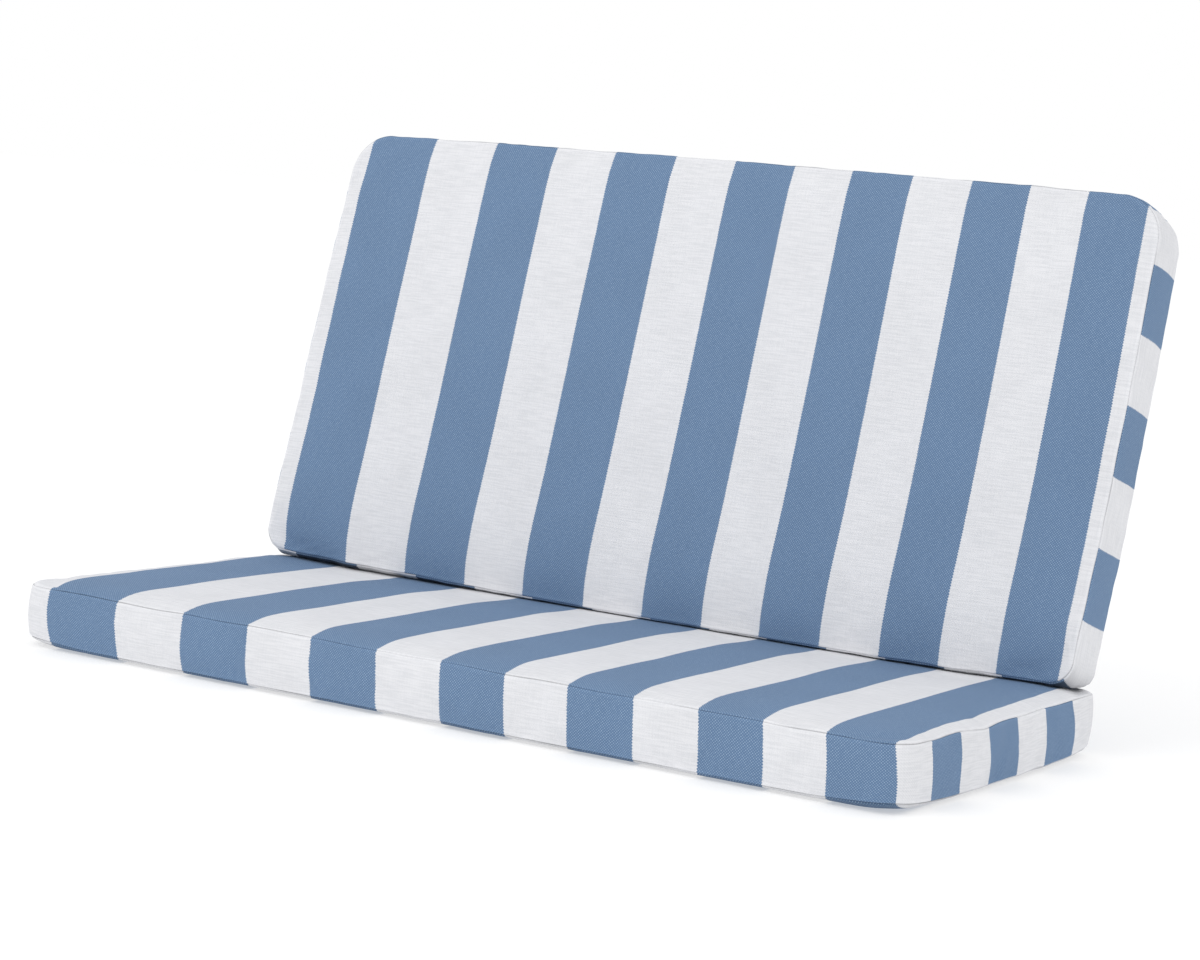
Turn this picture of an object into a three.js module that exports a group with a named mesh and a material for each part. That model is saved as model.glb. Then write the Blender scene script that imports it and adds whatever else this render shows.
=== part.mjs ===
// Loveseat cushion set: a boxed seat cushion lying flat, and a boxed back cushion that
// stands on the rear of the seat and leans back.
//
// Millimetres. +X runs along the width, +Y to the rear, +Z up. The origin is the middle
// of the set's box, at the surface that the seat cushion lies on.
//
// Each cushion is one filled solid: two crowned panels joined by a boxing strip that
// bulges between its two seams. Across a cushion the solid is a stack of rounded
// outlines, from the middle of the under panel, round the boxing, to the middle of the
// upper panel.

import * as THREE from 'three';
import { mergeVertices } from 'three/addons/utils/BufferGeometryUtils.js';

// Stripe pitch of the cloth, the unit in which the photograph shows the sizes
const STRIPE = 88;

// Seat cushion, seam to seam
const SEAT = {
  width: 13.8 * STRIPE,
  depth: 6.17 * STRIPE,
  boxing: 70,
  frontRadius: 35,
  rearRadius: 31,
  frontBow: 2,
  rearBow: 3,
  endBow: 3,
  boxingBulge: 5,
  upperCrown: 8.5,
  underCrown: 5.5,
};

// Back cushion, seam to seam: what the seat has at its front is at the back's foot here,
// and what the seat has at its rear is at the back's top
const BACK = {
  width: 13.49 * STRIPE,
  depth: 6.77 * STRIPE,
  boxing: 76,
  frontRadius: 28,
  rearRadius: 53,
  frontBow: 8,
  rearBow: 3.5,
  endBow: 3,
  boxingBulge: 2.5,
  upperCrown: 8,
  underCrown: 8,
};

// How the back cushion stands: its lean from upright, how far its middle lies to the right
// of the seat's, how far the foot of its front seam lies behind the seat's front seam and
// above the seat's upper seam, and the gap kept between its pressed foot and the seat's
// crown
const LEAN = THREE.MathUtils.degToRad(15);
const BACK_ASIDE = 3;
const FOOT_FROM_FRONT = 5.38 * STRIPE;
const FOOT_SEAM_LIFT = 16.2;
const REST_GAP = 0.5;

// The back's lower part stands a little forward, where it meets the small of the back
const LUMBAR = { forward: 4, height: 75, reach: 70 };

// The filling lifts the corners of a lower seam off the surface that the panel lies on
const CORNER_LIFT = { height: 6, reach: 70 };

// Fineness of the outlines, with a point at the middle of each corner, and of the rings
// from a panel's seam inwards. A panel that lies on a surface is flat from FLAT_FROM on.
const STEPS = { long: 22, short: 10, arc: 6 };
const CROWN_REACH = 24;
const FLAT_FROM = 32;
const PANEL_INSETS = [0, 5, 12, 24, 44, 80, 140, 210];
const FLAT_PANEL_INSETS = [0, 4, 8, 13, FLAT_FROM, 52, 90, 140, 210];
const CORE_HALF = 24;
const BOXING_LEVELS = [-0.36, -0.14, 0.14, 0.36];

const CLOTH = { color: 0xc9d0da, roughness: 0.92, metalness: 0 };

// A closed outline of rounded corners, or squared ones, counter-clockwise from the front
// left corner
function cornerOutline(halfWidth, halfDepth, frontRadius, rearRadius, squared) {
  const corners = [
    { x: -1, y: -1, radius: frontRadius, from: Math.PI },
    { x: 1, y: -1, radius: frontRadius, from: 1.5 * Math.PI },
    { x: 1, y: 1, radius: rearRadius, from: 0 },
    { x: -1, y: 1, radius: rearRadius, from: 0.5 * Math.PI },
  ];
  const points = [];
  corners.forEach((corner, index) => {
    const centre = new THREE.Vector2(
      corner.x * (halfWidth - corner.radius),
      corner.y * (halfDepth - corner.radius),
    );
    for (let i = 0; i <= STEPS.arc; i += 1) {
      const angle = corner.from + (i / STEPS.arc) * 0.5 * Math.PI;
      const way = new THREE.Vector2(Math.cos(angle), Math.sin(angle));
      const reach = squared ? corner.radius / Math.max(Math.abs(way.x), Math.abs(way.y)) : corner.radius;
      points.push(centre.clone().addScaledVector(way, reach));
    }
    const next = corners[(index + 1) % corners.length];
    const start = points[points.length - 1];
    const along = next.y === corner.y;
    const end = new THREE.Vector2(
      along ? next.x * (halfWidth - next.radius) : next.x * halfWidth,
      along ? next.y * halfDepth : next.y * (halfDepth - next.radius),
    );
    const steps = along ? STEPS.long : STEPS.short;
    for (let i = 1; i < steps; i += 1) {
      points.push(start.clone().lerp(end, i / steps));
    }
  });
  return points;
}

// Sides bow outwards a little between the corners
function bow(cushion, point) {
  const u = point.x / (cushion.width / 2);
  const v = point.y / (cushion.depth / 2);
  const sideBow = v < 0 ? cushion.frontBow : cushion.rearBow;
  return new THREE.Vector2(
    point.x + u * cushion.endBow * (1 - v * v),
    point.y + v * sideBow * (1 - u * u),
  );
}

// Outline of a ring, its corners rounder further in from the seam. The flat ground of a
// panel that lies on a surface is a plain rectangle, which the sides' bow doesn't reach.
function ringOutline(cushion, ring) {
  const halfWidth = cushion.width / 2 - ring.inset;
  const halfDepth = cushion.depth / 2 - ring.inset;
  const [front, rear] = [cushion.frontRadius, cushion.rearRadius]
    .map((radius) => Math.min(radius + 0.5 * ring.inset, 0.6 * halfDepth));
  const outline = cornerOutline(halfWidth, halfDepth, front, rear, ring.squared);
  return ring.squared ? outline : outline.map((point) => bow(cushion, point));
}

// Height that a soft panel has gained a given way in from its seam
function softRise(crown, inset) {
  return crown * (1 - Math.exp(-inset / CROWN_REACH));
}

// Height gained by a panel that is pressed flat, all of it before its flat ground
function flatRise(crown, inset) {
  const t = Math.min(inset / FLAT_FROM, 1);
  return crown * (1 - (1 - t) ** 3);
}

// How far a lying cushion's point is lifted near a corner. The share of the lift that a
// ring takes falls from the lower seam to nothing at the flat ground and the upper seam.
function cornerLift(cushion, ring, point) {
  const fromEnd = cushion.width / 2 - Math.abs(point.x);
  const fromSide = cushion.depth / 2 - Math.abs(point.y);
  const along = Math.max(fromEnd, fromSide) / CORNER_LIFT.reach;
  return ring.lifted * CORNER_LIFT.height * Math.exp(-(along ** 2));
}

// The stack of rings, each an outline at one height, from under panel to upper
function cushionRings(cushion, liesFlat) {
  const half = cushion.boxing / 2;
  const underRise = liesFlat ? flatRise : softRise;
  const core = cushion.depth / 2 - CORE_HALF;
  const under = [...(liesFlat ? FLAT_PANEL_INSETS : PANEL_INSETS), core].map((inset) => ({
    inset,
    z: -half - underRise(cushion.underCrown, inset),
    squared: liesFlat && inset >= FLAT_FROM && inset < core,
    lifted: liesFlat ? Math.max(1 - inset / FLAT_FROM, 0) ** 3 : 0,
  }));
  const boxing = BOXING_LEVELS.map((level) => ({
    inset: -cushion.boxingBulge * (1 - (2 * level) ** 2),
    z: level * cushion.boxing,
    lifted: liesFlat ? 0.5 - level : 0,
  }));
  const upper = [...PANEL_INSETS, core].map((inset) => ({
    inset,
    z: half + softRise(cushion.upperCrown, inset),
    lifted: 0,
  }));
  return [...under.reverse(), ...boxing, ...upper];
}

// One closed body from the rings, each end closed by a fan round its middle point
function cushionGeometry(cushion, liesFlat, bend) {
  const rings = cushionRings(cushion, liesFlat);
  const outlines = rings.map((ring) => ringOutline(cushion, ring));
  const count = outlines[0].length;
  const positions = [];
  outlines.forEach((outline, level) => {
    const ring = rings[level];
    outline.forEach((point) => {
      const height = ring.z + cornerLift(cushion, ring, point);
      const place = bend(new THREE.Vector3(point.x, point.y, height));
      positions.push(place.x, place.y, place.z);
    });
  });
  const index = [];
  for (let level = 0; level + 1 < rings.length; level += 1) {
    for (let i = 0; i < count; i += 1) {
      const a = level * count + i;
      const b = level * count + ((i + 1) % count);
      index.push(a, b, b + count, a, b + count, a + count);
    }
  }
  const last = (rings.length - 1) * count;
  const underMiddle = rings.length * count;
  const upperMiddle = underMiddle + 1;
  [rings[0], rings[rings.length - 1]].forEach((ring) => {
    const middle = bend(new THREE.Vector3(0, 0, ring.z));
    positions.push(middle.x, middle.y, middle.z);
  });
  for (let i = 0; i < count; i += 1) {
    const next = (i + 1) % count;
    index.push(underMiddle, next, i, upperMiddle, last + i, last + next);
  }
  const geometry = new THREE.BufferGeometry();
  geometry.setAttribute('position', new THREE.Float32BufferAttribute(positions, 3));
  geometry.setIndex(index);
  const merged = mergeVertices(geometry, 1e-4);
  merged.computeVertexNormals();
  return merged;
}

function clothMesh(name, geometry) {
  const mesh = new THREE.Mesh(geometry, new THREE.MeshStandardMaterial(CLOTH));
  mesh.name = name;
  return mesh;
}

// Seat cushion, its front seam at y = 0 and its under panel flat on z = 0
function seatCushion() {
  const mesh = clothMesh('seat_cushion', cushionGeometry(SEAT, true, (point) => point));
  mesh.position.set(0, SEAT.depth / 2, SEAT.underCrown + SEAT.boxing / 2);
  return mesh;
}

// Back cushion: its foot is pressed flat on the seat's crown, and follows the lean above
function backCushion() {
  const seatSeam = SEAT.underCrown + SEAT.boxing;
  const footSeam = new THREE.Vector3(BACK_ASIDE, FOOT_FROM_FRONT, seatSeam + FOOT_SEAM_LIFT);
  const rest = seatSeam + softRise(SEAT.upperCrown, SEAT.depth - FOOT_FROM_FRONT) + REST_GAP;
  const upTheBack = new THREE.Vector3(0, Math.sin(LEAN), Math.cos(LEAN));
  const forward = new THREE.Vector3(0, -Math.cos(LEAN), Math.sin(LEAN));
  const centre = footSeam
    .addScaledVector(upTheBack, BACK.depth / 2)
    .addScaledVector(forward, -BACK.boxing / 2);
  const bend = (point) => {
    const height = point.y + BACK.depth / 2;
    const lumbar = LUMBAR.forward * Math.exp(-(((height - LUMBAR.height) / LUMBAR.reach) ** 2));
    const z = point.z + lumbar;
    const level = centre.z + point.y * upTheBack.z + z * forward.z;
    const press = Math.max(rest - level, 0) / upTheBack.z;
    return new THREE.Vector3(point.x, point.y + press, z);
  };
  const mesh = clothMesh('back_cushion', cushionGeometry(BACK, false, bend));
  mesh.position.copy(centre);
  mesh.rotation.x = Math.PI / 2 - LEAN;
  return mesh;
}

const set = new THREE.Group();
set.add(seatCushion(), backCushion());
const box = new THREE.Box3().setFromObject(set, true);
const middle = box.getCenter(new THREE.Vector3());
set.position.set(-middle.x, -middle.y, -box.min.z);
set.updateMatrixWorld(true);

export default set;
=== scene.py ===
# Loveseat cushion set in wide blue and white striped outdoor cloth: a boxed seat cushion
# lying flat, and a boxed back cushion standing on its rear and leaning back.
#
# Lengths are in millimetres until a mesh is made. +X runs along the width, +Y to the
# rear, +Z up. A cushion is built lying flat in its own frame, from its front seam (the
# back's foot seam) to its rear seam (the back's top seam), and is then set in place.

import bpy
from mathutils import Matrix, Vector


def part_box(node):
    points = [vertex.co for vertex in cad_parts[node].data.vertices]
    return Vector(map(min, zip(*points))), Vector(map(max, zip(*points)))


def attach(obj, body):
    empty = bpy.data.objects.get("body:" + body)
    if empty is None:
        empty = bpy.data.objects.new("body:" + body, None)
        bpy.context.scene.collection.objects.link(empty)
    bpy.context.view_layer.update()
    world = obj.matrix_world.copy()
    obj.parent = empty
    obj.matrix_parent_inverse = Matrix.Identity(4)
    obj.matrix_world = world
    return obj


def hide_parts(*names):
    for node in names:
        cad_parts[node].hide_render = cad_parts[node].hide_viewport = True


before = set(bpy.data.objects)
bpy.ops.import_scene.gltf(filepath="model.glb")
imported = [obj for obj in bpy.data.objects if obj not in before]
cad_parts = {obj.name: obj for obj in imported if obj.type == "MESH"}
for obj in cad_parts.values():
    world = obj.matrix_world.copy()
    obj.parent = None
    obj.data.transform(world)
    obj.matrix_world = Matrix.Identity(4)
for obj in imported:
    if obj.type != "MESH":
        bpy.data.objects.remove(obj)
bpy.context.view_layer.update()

import math
from types import SimpleNamespace

import bpy
import numpy as np
from mathutils import Euler, Vector

METRE = 1000.0
STRIPE = 88.0  # mean pitch of the cloth's stripes

# Seam to seam sizes, the crown of each panel and the bulge of the boxing. The bows are how
# far the sides stand out between the corners.
SEAT = SimpleNamespace(
    width=13.8 * STRIPE,
    depth=6.17 * STRIPE,
    boxing=70.0,
    front_radius=35.0,
    rear_radius=31.0,
    front_bow=2.0,
    rear_bow=3.0,
    end_bow=3.0,
    bulge=5.0,
    upper_crown=8.5,
    under_crown=5.5,
    lies_flat=True,
    seed=11,
)
BACK = SimpleNamespace(
    width=13.49 * STRIPE,
    depth=6.77 * STRIPE,
    boxing=76.0,
    front_radius=28.0,
    rear_radius=53.0,
    front_bow=8.0,
    rear_bow=3.5,
    end_bow=3.0,
    bulge=2.5,
    upper_crown=8.0,
    under_crown=8.0,
    lies_flat=False,
    seed=23,
)

# How far in from its seam a soft panel gains its crown, from where a panel that lies on a
# surface is flat, and how far the filling lifts the corners of its seam
CROWN_REACH = 24.0
FLAT_FROM = 32.0
CORNER_LIFT = SimpleNamespace(height=6.0, reach=70.0)

# How the back stands on the seat: its lean, how far its middle lies to the right of the
# seat's, where the foot of its front seam is, and the gap under its foot
LEAN = math.radians(15)
BACK_ASIDE = 3.0
FOOT_FROM_FRONT = 5.38 * STRIPE
FOOT_SEAM_LIFT = 16.2
REST_GAP = 0.5

# The back's lower part stands a little forward. The press of its foot sets in softly, and
# is dropped where the foot is this many times the softness above its rest.
LUMBAR = SimpleNamespace(forward=4.0, height=75.0, reach=70.0)
PRESS = SimpleNamespace(softness=2.0, dropped=8)

# The back's weight: how far its foot's boxing stands out below the seams, how far the foot
# hangs at its middle and more so to the right, and over what height that fades
FOOT = SimpleNamespace(bulge=7.0, bulge_reach=40.0, hang=0.75, hang_right=3.0, reach=130.0)

# The share of the seat's crown that is pressed down under the back and in front of it,
# between two distances from the front seam, but for the ends
PRESSED = SimpleNamespace(share=0.35, low=355.0, high=466.0, inner=0.74, outer=0.95)

# Painted shade: the fold under the foot, over how much of the boxing's bulge it sets in and
# over what height it ends, and the rim of the seat's under panel, by the way in from its
# seam
FOLD = SimpleNamespace(low=0.03, high=0.17, reach=20.0)
RIM = SimpleNamespace(shade=0.4, start=1.5, low=7.0, high=14.0)

# Where the stripes lie across each panel: the white margin at either end of the front, how
# much wider the left stripes come out than the right ones as seen from the camera below,
# and how far to the left they run from front to rear, at the left end and at the right
STRIPES_ACROSS = 13
SEAT.stripes = SimpleNamespace(left=50.0, right=15.0, drift=0.177, aside=(22.0, 16.5))
BACK.stripes = SimpleNamespace(left=35.5, right=15.5, drift=0.155, aside=(7.5, 4.5))
WIDER_BLUE = 0.022  # one blue in every four stripes is this much wider

# On the end boxing: distance from the front or foot seam to the first blue bar, the width
# of that bar, and how much wider each next one is
SEAT.bars = SimpleNamespace(first=62.5, pitch=72.0, growth=3.1)
BACK.bars = SimpleNamespace(first=77.5, pitch=86.6, growth=0.2)

# How far to the right of the panel's the stripes lie on the front or foot boxing, at its
# left end and at its right
SEAT.front_shift = (0.0, 0.0)
BACK.front_shift = (20.0, 6.0)

# How far the boxing's stripes run aside from the upper seam down to the lower one: to the
# right along the front, to the rear along the right end
SEAT.slant = SimpleNamespace(front=5.5, end=11.0)
BACK.slant = SimpleNamespace(front=0.0, end=0.0)

# Where each panel lies on the cloth, apart from the boxing and the other panel
CLOTH_PLACE = {"upper": (1500.0, 2000.0), "under": (3000.0, 2000.0)}

# A panel is a square grid with a ringed border round it. The rings' corners get rounder on
# the way in from the seam, and turn square towards the grid.
FRAME = 60.0
ROUNDER = 0.5
SQUARE_FROM = 18.0
SIDES = 4  # the columns' places run from 0 to this, once round
FINE = SimpleNamespace(
    cell=5.4,
    rings=[0, 0.6, 1.3, 2.2, 3.5, 5.2, 7.5, 10.4, 14, 18.5, 24, 31, 39, 49, FRAME],
    rows=[0.6, 1.3, 2.2, 3.5, 5.2, 7.5, 10.4, 14, 18.5, 24, 29.5],
)
COARSE = SimpleNamespace(
    cell=13.0,
    rings=[0, 5, 12, 22, 34, 47, FRAME],
    rows=[7, 16, 26],
)

# Share of crown and bulge that is already in the sewn shape; the filling gives the rest
SEWN_SHARE = 0.45
FILLING = SimpleNamespace(pressure=4.0, shrink=-0.004, quality=5, frames=20)

# The seam: a fine groove with a soft ridge on each side, which the allowance inside makes
SEAM = SimpleNamespace(depth=2.0, half=0.75, ridge=0.35, ridge_at=3.2, ridge_half=1.8)
GATHER = SimpleNamespace(height=0.2, start=2.5, reach=11.0)
WANDER = SimpleNamespace(up=0.7, out=0.5, lying=0.5, reach=28.0)
SWELL = SimpleNamespace(height=0.4, fade_in=45.0)  # broad swells of a panel's face

# Waves of each kind: the shortest and the longest, and how many are added up
UP_WAVES = (90, 420, 12)
OUT_WAVES = (70, 360, 12)
PANEL_GATHERS = (17, 44, 26)
BOXING_GATHERS = (19, 50, 26)
SWELL_WAVES = (90, 330, 14)
WAVE_PEAK = 1.6  # how high such a sum usually reaches, for a root mean square of 1

# A small dip in the seat's upper seam, on its right end
DENT = SimpleNamespace(way=205.0, drop=2.6, reach=22.0)


def smoothstep(low, high, value):
    t = np.clip((value - low) / (high - low), 0, 1)
    return t * t * (3 - 2 * t)


def layout(spec, detail):
    """The columns round a panel and the cells of its grid, at one fineness."""
    half = np.array([spec.width / 2 - FRAME, spec.depth / 2 - FRAME])
    nx, ny = (int(round(2 * h / detail.cell)) for h in half)
    corner = [spec.front_radius, spec.front_radius, spec.rear_radius, spec.rear_radius]
    sides = []
    for side, (count, length) in enumerate(
        [(nx, 2 * half[0]), (ny, 2 * half[1]), (nx, 2 * half[0]), (ny, 2 * half[1])]
    ):
        along = np.arange(count) / count
        sides.append(
            SimpleNamespace(
                index=side,
                along=along,
                travelled=along * length,
                length=length,
                start=corner[side],
                end=corner[(side + 1) % SIDES],
            )
        )
    place = np.concatenate([s.index + s.along for s in sides])
    return SimpleNamespace(half=half, nx=nx, ny=ny, sides=sides, place=place)


def outline(spec, sides, inset):
    """A ring a given way in from the seam: rounded near it, square at the grid."""
    reach = {0: (spec.width / 2 - inset, spec.depth / 2 - inset)}
    reach[1] = reach[0][::-1]
    square = smoothstep(SQUARE_FROM, FRAME, inset)
    points = []
    for side in sides:
        far, out = reach[side.index % 2]
        start, end = side.start + ROUNDER * inset, side.end + ROUNDER * inset
        zone_a, zone_b = side.start + ROUNDER * FRAME, side.end + ROUNDER * FRAME
        e = side.travelled
        left = side.length - e
        straight = (e - zone_a) / (side.length - zone_a - zone_b)
        a = -far + start + straight * (2 * far - start - end)
        b = np.full_like(e, out)
        for at, zone, radius, sign in ((e, zone_a, start, -1), (left, zone_b, end, 1)):
            turn = np.arctan(np.clip(1 - at / zone, 0, 1))
            long = radius * ((1 - square) + square / np.cos(turn))
            near = at < zone
            a = np.where(near, sign * (far - radius + long * np.sin(turn)), a)
            b = np.where(near, out - radius + long * np.cos(turn), b)
        turned = [(a, -b), (b, a), (-a, b), (-b, -a)][side.index]
        points.append(np.stack(turned, -1))
    return np.concatenate(points)


def bowed(spec, xy):
    """Plan points moved out by the bow of the sides."""
    u = xy[..., 0] / (spec.width / 2)
    v = xy[..., 1] / (spec.depth / 2)
    side = np.where(v < 0, spec.front_bow, spec.rear_bow)
    x = xy[..., 0] + u * spec.end_bow * (1 - v * v)
    y = xy[..., 1] + v * side * (1 - u * u)
    return np.stack([x, y], -1)


def soft_rise(crown, inset):
    return crown * (1 - np.exp(-inset / CROWN_REACH))


def flat_rise(crown, inset):
    return crown * (1 - (1 - np.clip(inset / FLAT_FROM, 0, 1)) ** 3)


def corner_lift(spec, xy, share):
    """How far the corners of a lying cushion's lower seam are lifted, by a share of it."""
    along = np.maximum(
        spec.width / 2 - np.abs(xy[..., 0]), spec.depth / 2 - np.abs(xy[..., 1])
    )
    return share * CORNER_LIFT.height * np.exp(-((along / CORNER_LIFT.reach) ** 2))


def cushion_surface(spec, detail, share):
    """Patches of one closed cushion, each an array of points with its own coordinates."""
    lay = layout(spec, detail)
    half = spec.boxing / 2
    rings = np.array(detail.rings, float)
    flat = np.stack([outline(spec, lay.sides, s) for s in rings])
    gx = np.linspace(-lay.half[0], lay.half[0], lay.nx + 1)
    gy = np.linspace(-lay.half[1], lay.half[1], lay.ny + 1)
    grid = np.stack(np.meshgrid(gx, gy, indexing="ij"), -1)
    grid_inset = np.minimum(
        spec.width / 2 - np.abs(grid[..., 0]), spec.depth / 2 - np.abs(grid[..., 1])
    )
    panels = []
    for sign, crown in ((1, spec.upper_crown), (-1, spec.under_crown)):
        pressed = sign < 0 and spec.lies_flat
        rise = flat_rise if pressed else soft_rise
        part = 1.0 if pressed else share
        border_z = sign * (half + part * rise(crown, rings))[:, None]
        middle_z = sign * (half + part * rise(crown, grid_inset))
        border_xy, middle_xy = bowed(spec, flat), bowed(spec, grid)
        border_z = np.broadcast_to(border_z, border_xy.shape[:2])
        if pressed:
            lifted = np.clip(1 - rings / FLAT_FROM, 0, 1)[:, None] ** 3
            border_z = border_z + corner_lift(spec, flat, lifted)
        panels.append(
            SimpleNamespace(
                border=np.dstack([border_xy, border_z]),
                middle=np.dstack([middle_xy, middle_z]),
                border_flat=flat,
                middle_flat=grid,
            )
        )
    heights = np.array(detail.rows, float)
    levels = np.concatenate([[half], half - heights, -(half - heights)[::-1], [-half]])
    rows = []
    for level in levels:
        bulge = share * spec.bulge * (1 - (level / half) ** 2)
        plan = outline(spec, lay.sides, -bulge)
        xy = bowed(spec, plan)
        z = np.full(len(xy), level)
        if spec.lies_flat:
            z = z + corner_lift(spec, plan, 0.5 - level / spec.boxing)
        rows.append(np.column_stack([xy, z]))
    seam = flat[0]
    step = np.linalg.norm(np.roll(seam, -1, 0) - seam, axis=1)
    lay.travelled = np.concatenate([[0], np.cumsum(step)])
    return SimpleNamespace(
        lay=lay,
        rings=rings,
        levels=levels,
        upper=panels[0],
        under=panels[1],
        boxing=np.stack(rows),
        grid_x=gx,
        grid_y=gy,
    )


def numbering(surface):
    """Vertex numbers of every patch. Patches share the vertices where they meet."""
    lay = surface.lay
    columns, rings = len(lay.place), len(surface.rings)
    count = 0
    numbers = SimpleNamespace()
    for name in ("upper", "under"):
        grid = (lay.nx + 1, lay.ny + 1)
        middle = count + np.arange(math.prod(grid)).reshape(grid)
        count += middle.size
        border = count + np.arange((rings - 1) * columns).reshape(rings - 1, columns)
        count += border.size
        edge = np.concatenate(
            [middle[:-1, 0], middle[-1, :-1], middle[:0:-1, -1], middle[0, :0:-1]]
        )
        border = np.vstack([border, edge[None]])
        setattr(numbers, name, SimpleNamespace(border=border, middle=middle))
    inner = len(surface.levels) - 2
    rows = count + np.arange(inner * columns).reshape(inner, columns)
    count += rows.size
    numbers.boxing = np.vstack(
        [numbers.upper.border[:1], rows, numbers.under.border[:1]]
    )
    numbers.count = count
    return numbers


def gather(surface, numbers):
    """All the points in one array, by vertex number."""
    points = np.zeros((numbers.count, 3))
    points[numbers.boxing] = surface.boxing
    for name in ("upper", "under"):
        panel, number = getattr(surface, name), getattr(numbers, name)
        points[number.border] = panel.border
        points[number.middle] = panel.middle
    return points


def face_corners(values, closed):
    """What a patch holds at the four corners of every face, one row for each face. Faces
    look out when the patch's rows run inwards."""
    if closed:
        values = np.concatenate([values, values[:, :1]], 1)
    cells = [values[:-1, :-1], values[:-1, 1:], values[1:, 1:], values[1:, :-1]]
    return np.stack(cells, 2).reshape(-1, 4, *values.shape[2:])


def all_quads(numbers):
    """The faces of the whole cushion: boxing, upper panel, under panel."""
    faces = [face_corners(numbers.boxing[::-1], True)]
    for name, flip in (("upper", False), ("under", True)):
        number = getattr(numbers, name)
        border = face_corners(number.border, True)
        middle = face_corners(number.middle.T, False)
        for patch in (border, middle):
            faces.append(patch[:, ::-1] if flip else patch)
    return np.concatenate(faces)


def fill_out(name, points, quads, pinned):
    """Where the points go when the cushion is filled: cloth under pressure, sewn along its
    seams, with no weight."""
    mesh = bpy.data.meshes.new(name)
    mesh.from_pydata((points / METRE).tolist(), [], quads.tolist())
    mesh.update()
    bag = bpy.data.objects.new(name, mesh)
    bpy.context.scene.collection.objects.link(bag)
    seams = bag.vertex_groups.new(name="seams")
    seams.add([int(i) for i in pinned], 1.0, "REPLACE")
    cloth = bag.modifiers.new("filling", "CLOTH")
    cloth.settings.quality = FILLING.quality
    cloth.settings.vertex_group_mass = "seams"
    cloth.settings.use_pressure = True
    cloth.settings.uniform_pressure_force = FILLING.pressure
    cloth.settings.effector_weights.gravity = 0
    cloth.settings.shrink_min = FILLING.shrink
    cloth.point_cache.frame_start = 1
    cloth.point_cache.frame_end = FILLING.frames
    scene = bpy.context.scene
    for step in range(1, FILLING.frames + 1):
        scene.frame_set(step)
    settled = bag.evaluated_get(bpy.context.evaluated_depsgraph_get())
    result = np.empty(len(points) * 3)
    settled.data.vertices.foreach_get("co", result)
    scene.frame_set(1)
    bpy.data.objects.remove(bag)
    bpy.data.meshes.remove(mesh)
    return result.reshape(-1, 3) * METRE


def capped(moves, cap):
    """Moves whose length levels off at the cap."""
    length = np.linalg.norm(moves, axis=-1, keepdims=True)
    return moves * (cap * np.tanh(length / cap) / np.maximum(length, 1e-9))


def blended(marks, values, at, period=None):
    """Smooth cubic blend of values, given at marks along their first axis."""
    if period:
        marks = np.concatenate([marks[-2:] - period, marks, marks[:2] + period])
        values = np.concatenate([values[-2:], values, values[:2]])
    slope = np.gradient(values, marks, axis=0)
    i = np.clip(np.searchsorted(marks, at, side="right") - 1, 0, len(marks) - 2)
    gap = marks[i + 1] - marks[i]
    shape = (-1,) + (1,) * (values.ndim - 1)
    t, gap = ((at - marks[i]) / gap).reshape(shape), gap.reshape(shape)
    return (
        (2 * t**3 - 3 * t**2 + 1) * values[i]
        + (t**3 - 2 * t**2 + t) * gap * slope[i]
        + (-2 * t**3 + 3 * t**2) * values[i + 1]
        + (t**3 - t**2) * gap * slope[i + 1]
    )


def across(marks, values, at, period=None):
    """The same blend along the second axis."""
    return blended(marks, values.swapaxes(0, 1), at, period).swapaxes(0, 1)


def filling_moves(spec, fine):
    """How the filling moves each patch of the fine surface, from a coarser cloth."""
    coarse = cushion_surface(spec, COARSE, SEWN_SHARE)
    numbers = numbering(coarse)
    points = gather(coarse, numbers)
    quads = all_quads(numbers)
    moves = fill_out("filling_cloth", points, quads, numbers.boxing[[0, -1]].ravel())
    moves = moves - points
    gained = 1 - SEWN_SHARE
    caps = {"upper": gained * spec.upper_crown, "under": gained * spec.under_crown}
    result = SimpleNamespace()
    for name in ("upper", "under"):
        number = getattr(numbers, name)
        cap = caps[name]
        border = blended(coarse.rings, capped(moves[number.border], cap), fine.rings)
        border = across(coarse.lay.place, border, fine.lay.place, period=SIDES)
        middle = blended(coarse.grid_x, capped(moves[number.middle], cap), fine.grid_x)
        middle = across(coarse.grid_y, middle, fine.grid_y)
        setattr(result, name, SimpleNamespace(border=border, middle=middle))
    cap = gained * spec.bulge
    boxing = capped(moves[numbers.boxing], cap)[::-1]
    boxing = blended(coarse.levels[::-1], boxing, fine.levels[::-1])[::-1]
    result.boxing = across(coarse.lay.place, boxing, fine.lay.place, period=SIDES)
    return result


def ripple(rng, travelled, total, shortest, longest, count):
    """A wandering line round the seam, between two wavelengths, with a height near 1."""
    cycles = rng.integers(int(total / longest), int(total / shortest) + 1, count)
    phases = rng.uniform(0, 2 * math.pi, count)
    weights = rng.uniform(0.5, 1, count)
    waves = np.sin(2 * math.pi * np.outer(travelled / total, cycles) + phases) @ weights
    return waves / math.sqrt(0.5 * (weights**2).sum()) / WAVE_PEAK


def swell(rng, xy, shortest, longest, count):
    """Broad uneven swells over a panel, with a height near 1."""
    result = np.zeros(xy.shape[:-1])
    for _ in range(count):
        turn = rng.uniform(0, math.pi)
        wave = 2 * math.pi / rng.uniform(shortest, longest)
        phase = rng.uniform(0, 2 * math.pi)
        along = xy[..., 0] * math.cos(turn) + xy[..., 1] * math.sin(turn)
        result += np.sin(along * wave + phase)
    return result / math.sqrt(0.5 * count) / WAVE_PEAK


def seam_profile(distance):
    """Height of the seam's groove and ridge, by distance from the seam."""
    groove = -SEAM.depth * np.exp(-((distance / SEAM.half) ** 2))
    ridge = SEAM.ridge * np.exp(-(((distance - SEAM.ridge_at) / SEAM.ridge_half) ** 2))
    return groove + ridge


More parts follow.
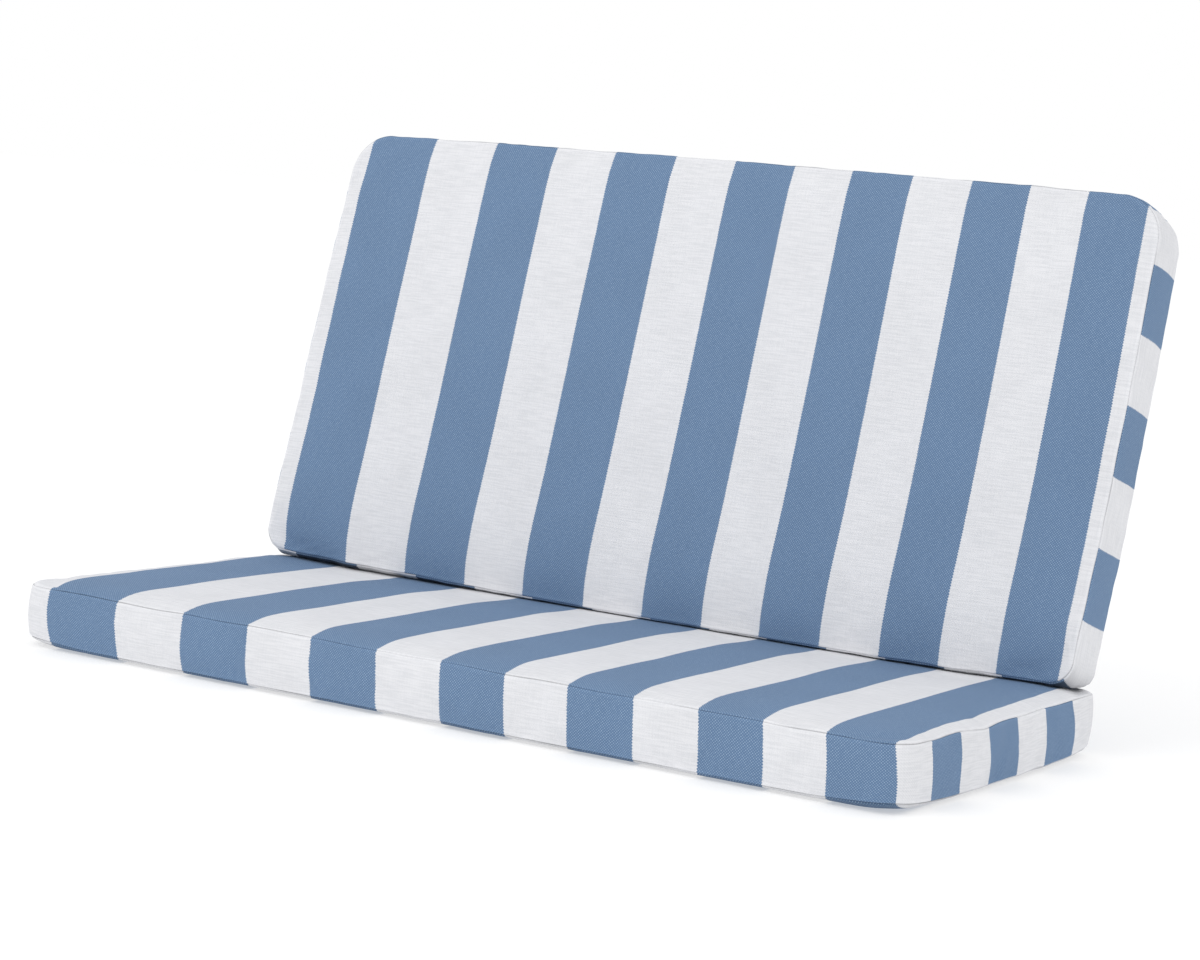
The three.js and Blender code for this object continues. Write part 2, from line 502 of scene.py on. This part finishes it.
def gather_fade(distance):
    """Gathers begin beside the seam and die out away from it."""
    return (1 - np.exp(-distance / GATHER.start)) * np.exp(-distance / GATHER.reach)


def dent(spec, surface):
    """Drop of the upper seam on the right end, by column."""
    seam = surface.upper.border_flat[0]
    way = seam[:, 1] + spec.depth / 2
    on_end = seam[:, 0] > spec.width / 2 - 1
    return on_end * DENT.drop * np.exp(-(((way - DENT.way) / DENT.reach) ** 2))


def seam_wander(rng, spec, surface):
    """How far each seam wanders up and out, by column. A seam that lies near a surface
    wanders only up."""
    travelled, total = surface.lay.travelled[:-1], surface.lay.travelled[-1]
    seams = {}
    for name in ("upper", "under"):
        up = WANDER.up * ripple(rng, travelled, total, *UP_WAVES)
        out = WANDER.out * ripple(rng, travelled, total, *OUT_WAVES)
        if spec.lies_flat:
            up = up - dent(spec, surface) if name == "upper" else WANDER.lying * np.abs(up)
        seams[name] = (up, out)
    return seams


def ways_out(spec, surface):
    """The way out of the cushion at each column, in plan."""
    away = surface.boxing[0, :, :2] / [spec.width / 2, spec.depth / 2]
    on_end = np.abs(away[:, 0]) > np.abs(away[:, 1])
    return np.where(on_end[:, None], np.sign(away) * [1, 0], np.sign(away) * [0, 1])


def add_swells(rng, surface, panel, number, heights):
    """Swells over a panel, from the same waves on its border and on its grid."""
    state = rng.bit_generator.state
    fade_in = smoothstep(0, SWELL.fade_in, surface.rings)[:, None]
    border = SWELL.height * fade_in * swell(rng, panel.border_flat, *SWELL_WAVES)
    heights[number.border[:-1]] += border[:-1]
    rng.bit_generator.state = state
    heights[number.middle] = SWELL.height * swell(rng, panel.middle_flat, *SWELL_WAVES)


def sewn(spec, surface, numbers):
    """Heights along the surface's normals, by vertex: seam grooves, ridges, gathers and
    the broad swells of the faces. Also the seams' own wander up and out."""
    rng = np.random.default_rng(spec.seed)
    travelled, total = surface.lay.travelled[:-1], surface.lay.travelled[-1]
    heights = np.zeros(numbers.count)
    moves = np.zeros((numbers.count, 3))
    seams = seam_wander(rng, spec, surface)
    outward = ways_out(spec, surface)

    def wander(number, fade, seam):
        up, out = seam
        moves[number, 2] += fade * up
        moves[number, :2] += fade[..., None] * out[:, None] * outward

    for name in ("upper", "under"):
        number = getattr(numbers, name)
        inside = surface.rings < FRAME
        fade = np.exp(-surface.rings / WANDER.reach)[:, None] * inside[:, None]
        wander(number.border, fade, seams[name])
        gathers = ripple(rng, travelled, total, *PANEL_GATHERS)
        fold = gather_fade(surface.rings)[:, None]
        profile = seam_profile(surface.rings)[:, None]
        heights[number.border] = profile + GATHER.height * fold * gathers
        if name == "upper" or not spec.lies_flat:
            add_swells(rng, surface, getattr(surface, name), number, heights)

    half = spec.boxing / 2
    inner = numbers.boxing[1:-1]
    distance = (half - np.abs(surface.levels))[1:-1, None]
    gathers = ripple(rng, travelled, total, *BOXING_GATHERS)
    fold = gather_fade(distance)
    heights[inner] = seam_profile(distance) + GATHER.height * fold * gathers
    for name, near in (("upper", half - surface.levels), ("under", half + surface.levels)):
        wander(inner, np.exp(-near / WANDER.reach)[1:-1, None], seams[name])
    return heights, moves


def stripe_at(spec, x, y=0.0):
    """Stripe number across a panel: whole at an edge, and even stripes are blue."""
    s = spec.stripes
    rear = y / spec.depth + 0.5
    left = s.left - s.aside[0] * rear
    right = s.right + s.aside[1] * rear
    t = (x + spec.width / 2 - left) / (spec.width - left - right)
    number = STRIPES_ACROSS * (t - s.drift * t * (1 - t))
    turn = np.pi * number / 2
    return number + WIDER_BLUE * (1 + 2 * np.cos(turn) + np.cos(2 * turn)) / 4


def bar_at(spec, way):
    """Bar number on the end boxing, a given way from the first bar's edge."""
    start = spec.bars.pitch - spec.bars.growth / 2
    square = np.maximum(start**2 + 2 * spec.bars.growth * way, 0)
    return (np.sqrt(square) - start) / spec.bars.growth


def boxing_marks(spec, surface, level):
    """Stripe number at both ends of every column of the boxing, at one level."""
    down = 0.5 - level / spec.boxing
    seam = surface.upper.border_flat[0]
    after = np.roll(seam, -1, 0)
    middle = (seam + after) / 2
    from_end = spec.width / 2 - np.abs(middle[:, 0])
    from_side = spec.depth / 2 - np.abs(middle[:, 1])
    on_end = from_end < from_side
    marks = []
    for point in (seam, after):
        height = point[:, 1] + spec.depth / 2
        aside = np.where(middle[:, 0] > 0, spec.slant.end * down, 0)
        bars = bar_at(spec, height - aside - spec.bars.first)
        end = np.where(middle[:, 0] > 0, STRIPES_ACROSS + 1 + bars, -1 - bars)
        share = point[:, 0] / spec.width + 0.5
        shift = spec.front_shift[0] * (1 - share) + spec.front_shift[1] * share
        slanted = point[:, 0] - spec.slant.front * down
        front = stripe_at(spec, slanted - shift, -spec.depth / 2)
        rear = stripe_at(spec, slanted, spec.depth / 2)
        along = np.where(middle[:, 1] < 0, front, rear)
        marks.append(np.where(on_end, end, along))
    return marks


def cloth_maps(spec, surface):
    """Corner coordinates of every face, in the order of all_quads: the stripe number, the
    place on the cloth in millimetres, across and along its stripes, and the distance from
    the seam."""
    stripe, place, seam = [], [], []
    travel = surface.lay.travelled
    across_cloth = np.stack([travel[:-1], travel[1:], travel[1:], travel[:-1]], -1)
    levels = surface.levels[::-1]
    for low, high in zip(levels[:-1], levels[1:]):
        start, end = boxing_marks(spec, surface, low)
        start_high, end_high = boxing_marks(spec, surface, high)
        stripe.append(np.stack([start, end, end_high, start_high], -1))
        along_cloth = np.broadcast_to([low, low, high, high], across_cloth.shape)
        place.append(np.stack([across_cloth, along_cloth], -1))
        seam.append(spec.boxing / 2 - np.abs(along_cloth))
    for name, flip in (("upper", False), ("under", True)):
        panel = getattr(surface, name)
        border_away = np.broadcast_to(surface.rings[:, None], panel.border_flat.shape[:2])
        middle_flat = panel.middle_flat.swapaxes(0, 1)
        middle_away = np.full(middle_flat.shape[:2], FRAME)
        for flat, away, closed in (
            (panel.border_flat, border_away, True),
            (middle_flat, middle_away, False),
        ):
            flat, away = face_corners(flat, closed), face_corners(away, closed)
            if flip:
                flat, away = flat[:, ::-1], away[:, ::-1]
            slanted = flat[..., 0] - (spec.slant.front if flip else 0)
            stripe.append(stripe_at(spec, slanted, flat[..., 1]))
            place.append(flat + CLOTH_PLACE[name])
            seam.append(away)
    return np.concatenate(stripe), np.concatenate(place), np.concatenate(seam)


def painted_fold_shade(spec, points, surface, numbers):
    """Painted shade at each point, by how deep it lies in the fold between the foot's
    boxing and the seat, or between the rim of the seat's under panel and the floor."""
    if spec.lies_flat:
        rings = surface.rings
        rim = smoothstep(0, RIM.start, rings) * (1 - smoothstep(RIM.low, RIM.high, rings))
        fold = np.zeros(len(points))
        fold[numbers.under.border] = RIM.shade * rim[:, None]
        return fold
    height = np.maximum(points[:, 1] + spec.depth / 2, 0)
    under = np.maximum(1 - (2 * points[:, 2] / spec.boxing) ** 2, 0)
    return smoothstep(FOLD.low, FOLD.high, under) * np.exp(-((height / FOLD.reach) ** 2))


def add_layer(mesh, name, first, second):
    """A layer of corner coordinates, which holds two numbers for the material."""
    pairs = np.stack([first, second], -1).astype(np.float32)
    mesh.uv_layers.new(name=name, do_init=False).uv.foreach_set("vector", pairs.ravel())


def filled(spec, surface):
    """The surface as the filling leaves it. A panel that lies on a surface stays flat."""
    filling = filling_moves(spec, surface)
    surface.boxing = surface.boxing + filling.boxing
    for name in ("upper",) if spec.lies_flat else ("upper", "under"):
        panel, moves = getattr(surface, name), getattr(filling, name)
        panel.border = panel.border + moves.border
        panel.middle = panel.middle + moves.middle
    return surface


def cushion(name, spec, set_in_place, material):
    surface = cushion_surface(spec, FINE, SEWN_SHARE)
    numbers = numbering(surface)
    surface = filled(spec, surface)
    points = gather(surface, numbers)
    quads = all_quads(numbers)

    mesh = bpy.data.meshes.new(name)
    mesh.from_pydata((points / METRE).tolist(), [], quads.tolist())
    mesh.update()
    normals = np.empty(numbers.count * 3, np.float32)
    mesh.vertex_normals.foreach_get("vector", normals)
    normals = normals.reshape(-1, 3)
    heights, moves = sewn(spec, surface, numbers)
    points = points + moves + normals * heights[:, None]
    fold = painted_fold_shade(spec, points, surface, numbers)[quads]
    points = set_in_place(points)
    mesh.vertices.foreach_set("co", (points / METRE).astype(np.float32).ravel())

    stripe, place, seam = cloth_maps(spec, surface)
    add_layer(mesh, "Stripe", stripe, seam)
    add_layer(mesh, "Weave", place[..., 0], place[..., 1])
    # This layer holds the painted shade of the fold under the foot and of the seat's under
    # rim
    add_layer(mesh, "PaintedShade", fold, np.zeros_like(fold))
    mesh.shade_smooth()
    mesh.update()
    mesh.materials.append(material)
    piece = bpy.data.objects.new(name, mesh)
    bpy.context.scene.collection.objects.link(piece)
    return piece


def cad_origin():
    """What moves a point measured from the seat's front seam into the row frame."""
    low, high = (np.array(corner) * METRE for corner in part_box("seat_cushion"))
    front_seam = low[1] + SEAT.front_bow + SEAT.bulge
    return np.array([(low[0] + high[0]) / 2, front_seam, low[2]])


ORIGIN = cad_origin()
SEAT_SEAM = SEAT.under_crown + SEAT.boxing


def rest_height(x):
    """Height that the back's foot rests at, which follows the seat's crown to its ends."""
    inset = np.minimum(SEAT.depth - FOOT_FROM_FRONT, SEAT.width / 2 - np.abs(x))
    return SEAT_SEAM + soft_rise(SEAT.upper_crown, inset) * pressed_crown(x) + REST_GAP


def pressed_crown(x):
    """What is left of the seat's crown under the back, by the place along the width."""
    from_middle = np.abs(x - BACK_ASIDE) / (BACK.width / 2)
    end = smoothstep(PRESSED.inner, PRESSED.outer, from_middle)
    return 1 - PRESSED.share * (1 - end)


def place_seat(points):
    """The seat in the row frame, its crown pressed down towards the rear."""
    x, y, z = points.T
    near = smoothstep(PRESSED.low, PRESSED.high, y + SEAT.depth / 2)
    left = 1 - near * (1 - pressed_crown(x))
    half = SEAT.boxing / 2
    points = np.stack([x, y, np.where(z > half, half + (z - half) * left, z)], -1)
    lift = SEAT.under_crown + half
    placed = points + ORIGIN + [0, SEAT.depth / 2, lift]
    placed[:, 2] = np.clip(placed[:, 2], 0.0, None)
    return placed


def place_back(points):
    """The back in the row frame, leaning, with its foot pressed on the seat."""
    up_the_back = np.array([0, math.sin(LEAN), math.cos(LEAN)])
    forward = np.array([0, -math.cos(LEAN), math.sin(LEAN)])
    foot = np.array([BACK_ASIDE, FOOT_FROM_FRONT, SEAT_SEAM + FOOT_SEAM_LIFT])
    centre = foot + up_the_back * BACK.depth / 2 - forward * BACK.boxing / 2
    x, y, z = points.T
    height = np.maximum(y + BACK.depth / 2, 0)
    out = np.maximum(1 - (2 * z / BACK.boxing) ** 2, 0)
    y = y - FOOT.bulge * out * np.exp(-((height / FOOT.bulge_reach) ** 2))
    hang = FOOT.hang + FOOT.hang_right * x / (BACK.width / 2)
    y = y - hang * np.exp(-((height / FOOT.reach) ** 2))
    z = z + LUMBAR.forward * np.exp(-(((height - LUMBAR.height) / LUMBAR.reach) ** 2))
    level = centre[2] + y * up_the_back[2] + z * forward[2]
    short = rest_height(x + BACK_ASIDE) - level
    press = PRESS.softness * np.logaddexp(0, short / PRESS.softness)
    press = np.where(short < -PRESS.dropped * PRESS.softness, 0, press)
    y = y + press / up_the_back[2]
    placed = centre + np.outer(y, up_the_back) + np.outer(z, forward)
    placed[:, 0] += x
    return placed + ORIGIN


class Net:
    """Short calls that add nodes to a material."""

    def __init__(self, tree):
        self.tree = tree

    def node(self, kind, **settings):
        made = self.tree.nodes.new(kind)
        for name, value in settings.items():
            setattr(made, name, value)
        return made

    def plug(self, socket, value):
        if isinstance(value, bpy.types.NodeSocket):
            self.tree.links.new(value, socket)
        else:
            socket.default_value = value

    def math(self, operation, *values, clamp=False):
        made = self.node("ShaderNodeMath", operation=operation, use_clamp=clamp)
        for socket, value in zip(made.inputs, values):
            self.plug(socket, value)
        return made.outputs[0]

    def plus(self, first, second):
        return self.math("ADD", first, second)

    def minus(self, first, second):
        return self.math("SUBTRACT", first, second)

    def times(self, first, second):
        return self.math("MULTIPLY", first, second)

    def noise(self, place, scale, detail):
        made = self.node("ShaderNodeTexNoise", noise_dimensions="2D")
        self.plug(made.inputs["Vector"], place)
        self.plug(made.inputs["Scale"], scale)
        self.plug(made.inputs["Detail"], detail)
        self.plug(made.inputs["Roughness"], 0.5)
        return made.outputs["Fac"]

    def pair(self, x, y):
        made = self.node("ShaderNodeCombineXYZ")
        self.plug(made.inputs[0], x)
        self.plug(made.inputs[1], y)
        return made.outputs[0]

    def ramp(self, value, low, high, to_low=0.0, to_high=1.0):
        made = self.node("ShaderNodeMapRange", interpolation_type="SMOOTHSTEP")
        for name, number in (
            ("Value", value),
            ("From Min", low),
            ("From Max", high),
            ("To Min", to_low),
            ("To Max", to_high),
        ):
            self.plug(made.inputs[name], number)
        return made.outputs[0]

    def mix(self, share, first, second):
        made = self.node("ShaderNodeMix", data_type="RGBA")
        colour_a, colour_b = made.inputs[6], made.inputs[7]
        self.plug(made.inputs[0], share)
        self.plug(colour_a, first)
        self.plug(colour_b, second)
        return made.outputs[2]


YARN = 1.7  # pitch of the yarns
BLUE_YARN = (0.117, 0.195, 0.328, 1)
BLUE_FLECK = (0.327, 0.437, 0.578, 1)
WHITE_YARN = (0.765, 0.768, 0.793, 1)
WHITE_SHADE = (0.672, 0.680, 0.707, 1)
# Painted shade of the fold and the rim: what it leaves of the blue, and of the white
FOLD_SHADE = (0.20, 0.62)  # what the fold leaves of the blue, and of the white

# The edge of a stripe, in stripes: how far it steps from yarn to yarn and how soft it is
EDGE = SimpleNamespace(step=0.004, tooth=1.6, soft=0.002)

# The weave's own pattern: the range of it that shows as flecks in the blue, its share in
# the tone of the white, and its height
WEAVE = SimpleNamespace(low=0.05, high=0.75, tone=0.15, height=0.35)

# Noise on the cloth: how fast it changes across the stripes and along them, the range of it
# that counts, and what it does there
UNEVEN = SimpleNamespace(across=0.35, scale=0.45, low=0.25, high=0.75, least=0.45)
SLUB = SimpleNamespace(across=0.03, along=0.55, low=0.32, high=0.66, tone=0.65, height=0.9)
THREAD = SimpleNamespace(across=0.55, along=0.04, low=0.30, high=0.66, tone=0.25)
BROAD = SimpleNamespace(scale=0.012, low=0.3, high=0.7, dark=0.985, light=1.015)

# Shade painted in a seam: how dark it is, uneven along the seam, and the distances between
# which it ends. The ridge beside it gets a little painted light, which falls by a factor.
CREASE = SimpleNamespace(scale=0.006, low=0.40, high=0.60, dark=0.56, start=0.4, end=1.6)
PAINTED_RIDGE_LIGHT = SimpleNamespace(tone=1.05, start=2.5, end=6.0, fall=0.955)

FINISH = SimpleNamespace(specular=0.12, sheen=0.03, sheen_roughness=0.5)
ROUGHNESS = SimpleNamespace(low=0.2, high=0.8, least=0.84, most=0.95)
BUMP = SimpleNamespace(strength=0.4, distance=0.0005)


def layer_values(net, layer):
    """A layer of corner coordinates, and the two numbers that it holds."""
    both = net.node("ShaderNodeUVMap", uv_map=layer).outputs[0]
    split = net.node("ShaderNodeSeparateXYZ")
    net.plug(split.inputs[0], both)
    return both, split.outputs[0], split.outputs[1]


def yarn_wave(net, way):
    return net.math("SINE", net.times(way, math.pi / YARN))


def stretched_noise(net, kind, a, b, detail):
    place = net.pair(net.times(a, kind.across), net.times(b, kind.along))
    return net.noise(place, 1.0, detail)


def white_share(net, number, b):
    """1 on the white stripes and 0 on the blue ones. An edge steps from yarn to yarn."""
    pick = net.math("FLOOR", net.math("DIVIDE", b, 2 * YARN))
    step = net.node("ShaderNodeTexWhiteNoise", noise_dimensions="1D")
    net.plug(step.inputs["W"], pick)
    jag = net.plus(net.times(yarn_wave(net, b), EDGE.tooth), step.outputs["Value"])
    jag = net.times(net.minus(jag, 0.5), EDGE.step)
    half = net.math("FRACT", net.times(net.plus(number, jag), 0.5))
    rising = net.ramp(half, 0.5 - EDGE.soft, 0.5 + EDGE.soft)
    falling = net.ramp(half, 1 - EDGE.soft, 1 + EDGE.soft)
    start = net.ramp(half, -EDGE.soft, EDGE.soft)
    white = net.plus(net.minus(rising, falling), net.times(net.minus(1.0, start), 0.5))
    return net.math("MAXIMUM", white, 0.0, clamp=True)


def blue_cloth(net, over, uneven):
    """Blue with pale flecks, where one set of yarns lies over the other."""
    fleck = net.ramp(over, WEAVE.low, WEAVE.high)
    strength = net.ramp(uneven, UNEVEN.low, UNEVEN.high, UNEVEN.least, 1.0)
    return net.mix(net.times(fleck, strength), BLUE_YARN, BLUE_FLECK)


def white_cloth(net, over, slub, a, b):
    """Slubbed white: thicker and thinner picks in long runs across the stripes."""
    thread = stretched_noise(net, THREAD, a, b, 1.0)
    line = net.times(net.ramp(slub, SLUB.low, SLUB.high), SLUB.tone)
    upright = net.times(net.ramp(thread, THREAD.low, THREAD.high), THREAD.tone)
    tone = net.plus(line, upright)
    tone = net.math("ADD", tone, net.times(over, WEAVE.tone), clamp=True)
    return net.mix(tone, WHITE_SHADE, WHITE_YARN)


def painted_shading(net, weave, seam, white, fold):
    """What the painted shade in the seams and the fold, the painted light beside the seams
    and broad unevenness leave of the cloth's value.
    """
    # Painted shade in the seam, and painted light on the ridge beside it
    along = net.noise(weave, CREASE.scale, 1.0)
    depth = net.ramp(along, CREASE.low, CREASE.high, CREASE.dark, 1.0)
    crease = net.ramp(seam, CREASE.start, CREASE.end, depth, PAINTED_RIDGE_LIGHT.tone)
    crease = net.times(crease, net.ramp(seam, PAINTED_RIDGE_LIGHT.start, PAINTED_RIDGE_LIGHT.end, 1.0, PAINTED_RIDGE_LIGHT.fall))
    # Painted shade of the fold and the rim, deeper on the blue than on the white
    kept = net.ramp(white, 0.0, 1.0, FOLD_SHADE[0], FOLD_SHADE[1])
    shade = net.minus(1.0, net.times(fold, net.minus(1.0, kept)))
    broad = net.noise(weave, BROAD.scale, 3.0)
    broad = net.ramp(broad, BROAD.low, BROAD.high, BROAD.dark, BROAD.light)
    return net.times(broad, net.times(crease, shade))


def cloth_material(name):
    material = bpy.data.materials.new(name)
    material.use_nodes = True
    net = Net(material.node_tree)
    net.tree.nodes.clear()
    _, number, seam = layer_values(net, "Stripe")
    weave, a, b = layer_values(net, "Weave")
    # Painted shade of the fold under the foot and of the seat's under rim
    _, fold, _ = layer_values(net, "PaintedShade")

    # Plain weave: warp and weft yarns lie over each other in turn
    over = net.times(yarn_wave(net, a), yarn_wave(net, b))
    uneven = net.noise(net.pair(net.times(a, UNEVEN.across), b), UNEVEN.scale, 2.0)
    slub = stretched_noise(net, SLUB, a, b, 2.0)
    white = white_share(net, number, b)
    blue_part = blue_cloth(net, over, uneven)
    white_part = white_cloth(net, over, slub, a, b)
    # The cloth's colour takes the painted shade and painted light of the seams and the fold
    painted_shade_tint = net.node("ShaderNodeHueSaturation")
    net.plug(painted_shade_tint.inputs["Value"], painted_shading(net, weave, seam, white, fold))
    net.plug(painted_shade_tint.inputs["Color"], net.mix(white, blue_part, white_part))

    bump = net.node("ShaderNodeBump")
    net.plug(bump.inputs["Strength"], BUMP.strength)
    net.plug(bump.inputs["Distance"], BUMP.distance)
    height = net.plus(net.times(over, WEAVE.height), net.times(slub, SLUB.height))
    net.plug(bump.inputs["Height"], height)

    shader = net.node("ShaderNodeBsdfPrincipled")
    rough = (ROUGHNESS.low, ROUGHNESS.high, ROUGHNESS.least, ROUGHNESS.most)
    net.plug(shader.inputs["Base Color"], painted_shade_tint.outputs[0])
    net.plug(shader.inputs["Roughness"], net.ramp(uneven, *rough))
    net.plug(shader.inputs["Specular IOR Level"], FINISH.specular)
    net.plug(shader.inputs["Sheen Weight"], FINISH.sheen)
    net.plug(shader.inputs["Sheen Roughness"], FINISH.sheen_roughness)
    net.plug(shader.inputs["Normal"], bump.outputs[0])
    out = net.node("ShaderNodeOutputMaterial")
    net.plug(out.inputs[0], shader.outputs[0])
    return material


cloth = cloth_material("striped_cloth")
for node, slot, spec, place in (
    ("seat_cushion", "seat_cloth", SEAT, place_seat),
    ("back_cushion", "back_cloth", BACK, place_back),
):
    piece = cushion(node + "_sewn", spec, place, cloth)
    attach(piece, "root")
    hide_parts(node)

# The stage is in metres
FLOOR = SimpleNamespace(half=40.0, below=0.0004, tone=0.62, glow=0.41)
STUDIO_LIGHT = 1.0
MIDDLE = (0.0, 0.0, 0.3)
KEY = SimpleNamespace(place=(-0.8, -3.2, 3.5), size=2.4, power=30)

# The seat's right end is raised a little in the view, so the camera is rolled. Its heading
# is to the left of +Y.
CAMERA = SimpleNamespace(
    place=(1.8803, -3.1736, 0.6456),
    heading=30.54,
    pitch=-5.89,
    roll=4.73,
    lens=90.12,
    sensor=36.0,
)


def stage_floor():
    mesh = bpy.data.meshes.new("floor")
    h = FLOOR.half
    mesh.from_pydata([(-h, -h, 0), (h, -h, 0), (h, h, 0), (-h, h, 0)], [], [(0, 1, 2, 3)])
    floor = bpy.data.objects.new("floor", mesh)
    floor.location.z = -FLOOR.below
    bpy.context.scene.collection.objects.link(floor)
    material = bpy.data.materials.new("pale_floor")
    material.use_nodes = True
    shader = material.node_tree.nodes["Principled BSDF"]
    shader.inputs["Base Color"].default_value = (FLOOR.tone, FLOOR.tone, FLOOR.tone, 1)
    shader.inputs["Emission Color"].default_value = (1, 1, 1, 1)
    shader.inputs["Emission Strength"].default_value = FLOOR.glow
    shader.inputs["Roughness"].default_value = 1.0
    shader.inputs["Specular IOR Level"].default_value = 0.0
    mesh.materials.append(material)


def stage_light(name, place, aim, size, power):
    light = bpy.data.lights.new(name, "AREA")
    light.shape = "DISK"
    light.size = size
    light.energy = power
    lamp = bpy.data.objects.new(name, light)
    lamp.location = place
    lamp.rotation_euler = (Vector(aim) - Vector(place)).to_track_quat("-Z", "Y").to_euler()
    bpy.context.scene.collection.objects.link(lamp)


def stage_world():
    world = bpy.data.worlds.new("studio")
    world.use_nodes = True
    net = Net(world.node_tree)
    net.tree.nodes.clear()
    back = net.node("ShaderNodeBackground")
    net.plug(back.inputs["Color"], (1, 1, 1, 1))
    net.plug(back.inputs["Strength"], STUDIO_LIGHT)
    out = net.node("ShaderNodeOutputWorld")
    net.plug(out.inputs[0], back.outputs[0])
    bpy.context.scene.world = world


def stage_camera():
    data = bpy.data.cameras.new("camera")
    data.lens = CAMERA.lens
    data.sensor_width = CAMERA.sensor
    camera = bpy.data.objects.new("camera", data)
    camera.location = CAMERA.place
    turn = (
        Euler((0, 0, math.radians(CAMERA.heading))).to_matrix()
        @ Euler((math.radians(90 + CAMERA.pitch), 0, 0)).to_matrix()
        @ Euler((0, 0, math.radians(CAMERA.roll))).to_matrix()
    )
    camera.rotation_euler = turn.to_euler()
    bpy.context.scene.collection.objects.link(camera)
    bpy.context.scene.camera = camera


stage_floor()
stage_world()
stage_light("key", KEY.place, MIDDLE, KEY.size, KEY.power)
stage_camera()
bpy.context.scene.view_settings.view_transform = "Standard"
